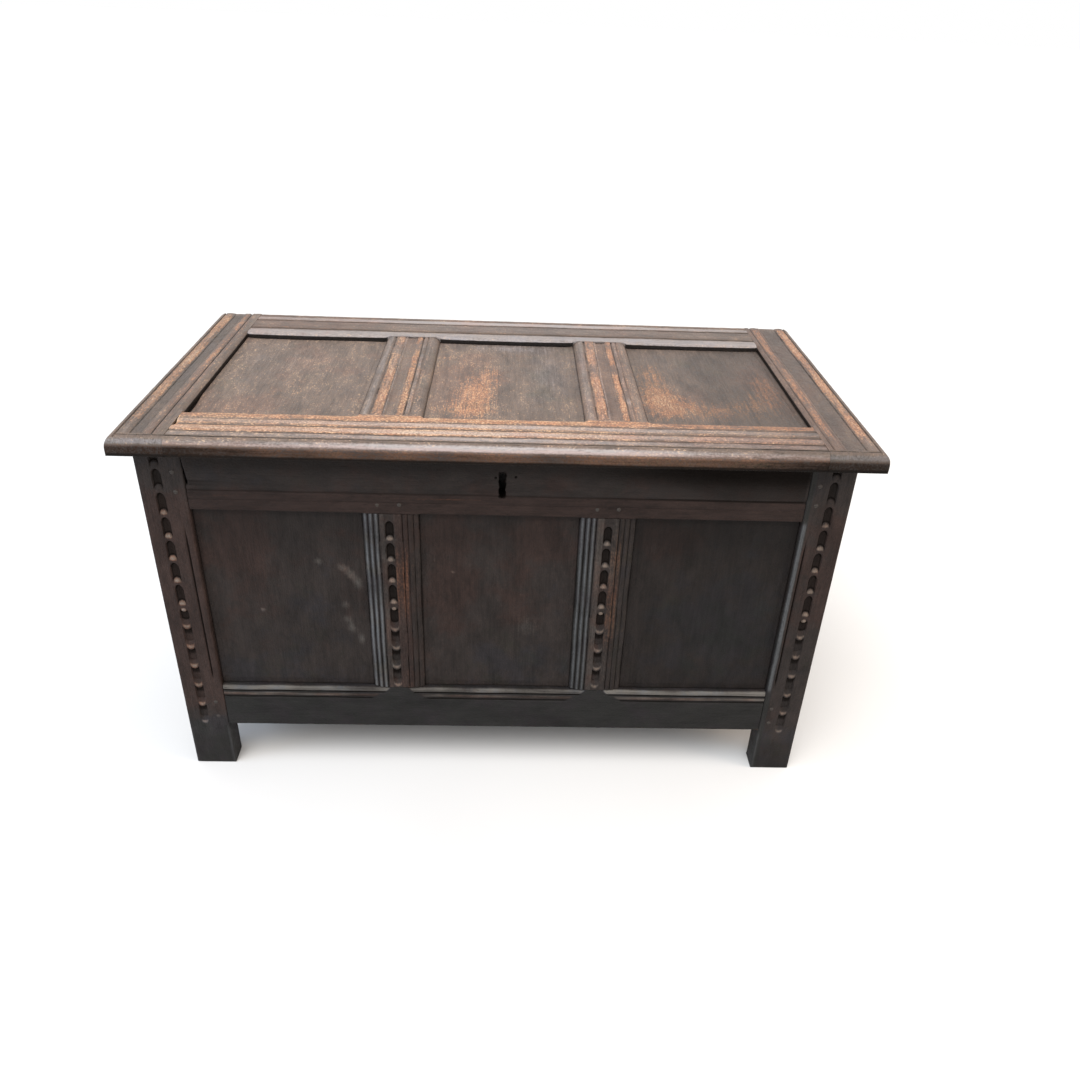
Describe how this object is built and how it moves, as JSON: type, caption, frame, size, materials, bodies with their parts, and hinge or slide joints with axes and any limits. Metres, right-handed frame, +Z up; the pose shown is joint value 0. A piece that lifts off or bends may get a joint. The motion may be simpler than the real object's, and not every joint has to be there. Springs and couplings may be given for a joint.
{
  "type": "coffer chest",
  "caption": "Joined oak coffer with panelled front, sides and back, a panelled lid on iron strap hinges, corner stiles running down as feet, and a keyhole lock in the front rail.",
  "frame": {"origin": "on the floor, under the middle of the lid", "axes": "+X to the right as seen from the front, +Y from the front to the back, +Z up"},
  "size_m": [1.1, 0.573, 0.632],
  "materials": {
    "top_oak": "old waxed oak, worn orange on its raised edges",
    "front_oak": "dark old waxed oak",
    "plain_oak": "dry old oak, planed by hand",
    "iron": "dark forged iron"
  },
  "bodies": {
    "carcase": {"corner_stile_front_left": "front_oak", "corner_stile_front_right": "front_oak", "corner_stile_back_left": "plain_oak", "corner_stile_back_right": "plain_oak", "front_top_rail": "front_oak", "front_bottom_rail": "front_oak", "front_muntin_left": "front_oak", "front_muntin_right": "front_oak", "front_panel_left": "front_oak", "front_panel_middle": "front_oak", "front_panel_right": "front_oak", "peg_bottom_left_lower": "front_oak", "peg_bottom_left_upper": "front_oak", "peg_bottom_right_lower": "front_oak", "peg_bottom_right_upper": "front_oak", "peg_top_left_lower": "front_oak", "peg_top_left_upper": "front_oak", "peg_top_right_lower": "front_oak", "peg_top_right_upper": "front_oak", "back_top_rail": "plain_oak", "back_bottom_rail": "plain_oak", "back_muntin_left": "plain_oak", "back_muntin_right": "plain_oak", "back_panel_left": "plain_oak", "back_panel_middle": "plain_oak", "back_panel_right": "plain_oak", "left_side_top_rail": "plain_oak", "left_side_bottom_rail": "plain_oak", "left_side_muntin": "plain_oak", "left_side_panel_front": "plain_oak", "left_side_panel_back": "plain_oak", "right_side_top_rail": "plain_oak", "right_side_bottom_rail": "plain_oak", "right_side_muntin": "plain_oak", "right_side_panel_front": "plain_oak", "right_side_panel_back": "plain_oak", "floor_board_1": "plain_oak", "floor_board_2": "plain_oak", "floor_board_3": "plain_oak", "floor_board_4": "plain_oak", "hinge_leaf_left": "iron", "hinge_leaf_right": "iron", "hinge_pin_left": "iron", "hinge_pin_right": "iron", "lock_case": "iron"},
    "lid": {"lid_stile_left": "top_oak", "lid_stile_right": "top_oak", "lid_front_rail": "top_oak", "lid_back_rail": "top_oak", "lid_muntin_left": "top_oak", "lid_muntin_right": "top_oak", "lid_panel_left": "top_oak", "lid_panel_middle": "top_oak", "lid_panel_right": "top_oak", "hinge_strap_left": "iron", "hinge_strap_right": "iron", "lock_staple": "iron"},
    "bolt": {"lock_bolt": "iron"}
  },
  "joints": [
    {"name": "lid_hinge", "type": "hinge", "parent": "carcase", "child": "lid", "pos_m": [0, 0.2788, 0.597], "axis": [-1, 0, 0], "range_deg": [0, 100]},
    {"name": "bolt_slide", "type": "slide", "parent": "carcase", "child": "bolt", "axis": [1, 0, 0], "range_m": [0, 0.014]}
  ]
}
